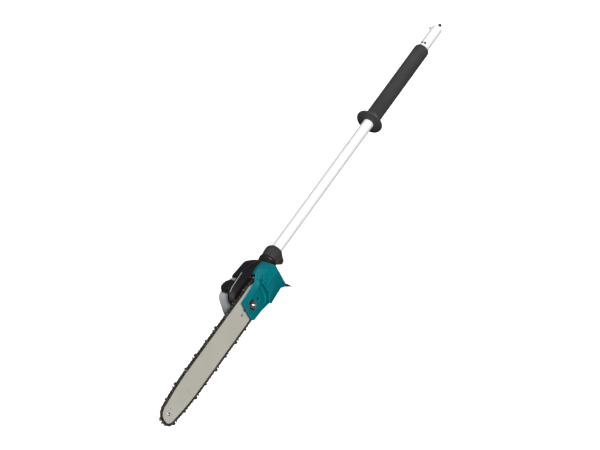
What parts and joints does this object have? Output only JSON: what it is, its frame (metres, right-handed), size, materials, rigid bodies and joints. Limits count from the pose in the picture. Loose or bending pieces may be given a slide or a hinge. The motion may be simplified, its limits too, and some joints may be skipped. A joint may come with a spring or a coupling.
{
  "type": "pole saw attachment",
  "caption": "Chain saw head on a straight aluminium tube with grip and guard, driven by a shaft from a separate power head, for pruning branches out of reach.",
  "frame": {"origin": "centre of the tube at its coupling end face, where the tube enters the power head's clamp", "axes": "+X along the tube towards the tip of the guide bar, +Y out of the sprocket cover, +Z towards the oil cap"},
  "size_m": [1.1988, 0.0704, 0.1282],
  "materials": {
    "tube": "polished",
    "steel": "machined",
    "dark_steel": "blackened and oiled",
    "bar_steel": "satin warm grey paint",
    "bright_steel": "bright plated",
    "brass": "turned",
    "pump_alloy": "as cast",
    "black_plastic": "fine moulded texture",
    "collar_plastic": "moulded, slightly rough",
    "grip_rubber": "soft, ribbed",
    "cover_teal": "teal, semi-gloss moulding",
    "tank_grey": "silver grey moulding",
    "oil_rubber": "oil-resistant",
    "felt": "felt"
  },
  "bodies": {
    "root": {"outer_tube": "tube", "locating_button": "steel", "inner_guide_plate": "steel", "outer_guide_plate": "steel", "hook_screw": "steel", "housing_screw_1": "steel", "housing_screw_2": "steel", "housing_screw_3": "steel", "housing_screw_4": "steel", "clamp_screw": "dark_steel", "saw_chain": "dark_steel", "branch_hook": "dark_steel", "lid_screw_1": "dark_steel", "lid_screw_2": "dark_steel", "lid_screw_3": "dark_steel", "lid_screw_4": "dark_steel", "shaft_bearing_rear": "bright_steel", "shaft_bearing_front": "bright_steel", "spindle_bearing_inner": "bright_steel", "spindle_bearing_outer": "bright_steel", "bar_stud": "bright_steel", "oil_pump_body": "pump_alloy", "coupling_end_bush": "black_plastic", "gear_case": "black_plastic", "gear_case_lid": "black_plastic", "chain_housing": "black_plastic", "neck_clamp": "collar_plastic", "grip_sleeve": "grip_rubber", "guard_flange": "grip_rubber", "sprocket_cover": "cover_teal", "oil_tank": "tank_grey", "oil_hose": "oil_rubber", "shaft_bush_1": "oil_rubber", "shaft_bush_2": "oil_rubber", "shaft_bush_3": "oil_rubber", "shaft_bush_4": "oil_rubber", "oil_filter": "felt"},
    "drive_line": {"drive_shaft": "dark_steel", "bevel_pinion": "steel"},
    "spindle_unit": {"spindle": "steel", "bevel_gear": "steel", "pump_worm": "steel", "drive_sprocket": "steel", "sprocket_washer": "bright_steel", "sprocket_clip": "dark_steel"},
    "pump_plunger": {"pump_plunger": "brass"},
    "guide_bar": {"guide_bar": "bar_steel", "nose_hub": "steel"},
    "nose_sprocket": {"nose_sprocket": "dark_steel"},
    "tension_pin": {"tension_pin": "steel"},
    "tension_screw": {"tension_screw": "steel"},
    "tension_adjuster": {"tension_adjuster": "steel"},
    "nut_washer": {"nut_washer": "steel"},
    "bar_nut": {"bar_nut": "bright_steel"},
    "cap_gasket": {"cap_gasket": "oil_rubber"},
    "oil_cap": {"oil_cap": "black_plastic"}
  },
  "joints": [
    {"name": "spindle_turn", "type": "hinge", "parent": "root", "child": "spindle_unit", "pos_m": [0.786, 0, 0], "axis": [0, 1, 0], "continuous": true},
    {"name": "shaft_turn", "type": "hinge", "parent": "root", "child": "drive_line", "pos_m": [0, 0, 0], "axis": [1, 0, 0], "continuous": true},
    {"name": "pump_turn", "type": "hinge", "parent": "root", "child": "pump_plunger", "pos_m": [0.796, 0.0156, 0], "axis": [0, 0, 1], "continuous": true},
    {"name": "bar_tension", "type": "slide", "parent": "root", "child": "guide_bar", "axis": [1, 0, 0], "range_m": [-0.004, 0]},
    {"name": "nose_sprocket_turn", "type": "hinge", "parent": "guide_bar", "child": "nose_sprocket", "pos_m": [1.1596, 0.024, -0.004], "axis": [0, 1, 0], "continuous": true},
    {"name": "tension_pin_slide", "type": "slide", "parent": "root", "child": "tension_pin", "axis": [1, 0, 0], "range_m": [-0.0041, 0]},
    {"name": "tension_screw_turn", "type": "hinge", "parent": "root", "child": "tension_screw", "pos_m": [0.826, 0.0164, -0.006], "axis": [1, 0, 0], "range_deg": [-1802, 0]},
    {"name": "tension_adjuster_turn", "type": "hinge", "parent": "root", "child": "tension_adjuster", "pos_m": [0.8395, 0.02, -0.006], "axis": [0, 1, 0], "range_deg": [-1802, 0]},
    {"name": "nut_travel", "type": "slide", "parent": "root", "child": "nut_washer", "axis": [0, 1, 0], "range_m": [0, 0.0038]},
    {"name": "nut_turn", "type": "hinge", "parent": "nut_washer", "child": "bar_nut", "pos_m": [0.86, 0.038, -0.004], "axis": [0, 1, 0], "range_deg": [0, 1080]},
    {"name": "cap_travel", "type": "slide", "parent": "root", "child": "cap_gasket", "axis": [0, 0, 1], "range_m": [0, 0.0076]},
    {"name": "cap_turn", "type": "hinge", "parent": "cap_gasket", "child": "oil_cap", "pos_m": [0.853, -0.0046, 0.038], "axis": [0, 0, 1], "range_deg": [0, 900]}
  ],
  "couplings": [
    {"joint": "shaft_turn", "follows": "spindle_turn", "ratio": -1.7778},
    {"joint": "pump_turn", "follows": "spindle_turn", "ratio": 0.05},
    {"joint": "nose_sprocket_turn", "follows": "spindle_turn", "ratio": 0.85714},
    {"joint": "tension_pin_slide", "follows": "bar_tension", "ratio": 1},
    {"joint": "tension_screw_turn", "follows": "bar_tension", "rad_per_m": 7854},
    {"joint": "tension_adjuster_turn", "follows": "bar_tension", "rad_per_m": 7854},
    {"joint": "nut_travel", "follows": "nut_turn", "m_per_rad": 0.00019894},
    {"joint": "cap_travel", "follows": "cap_turn", "m_per_rad": 0.00047746}
  ]
}
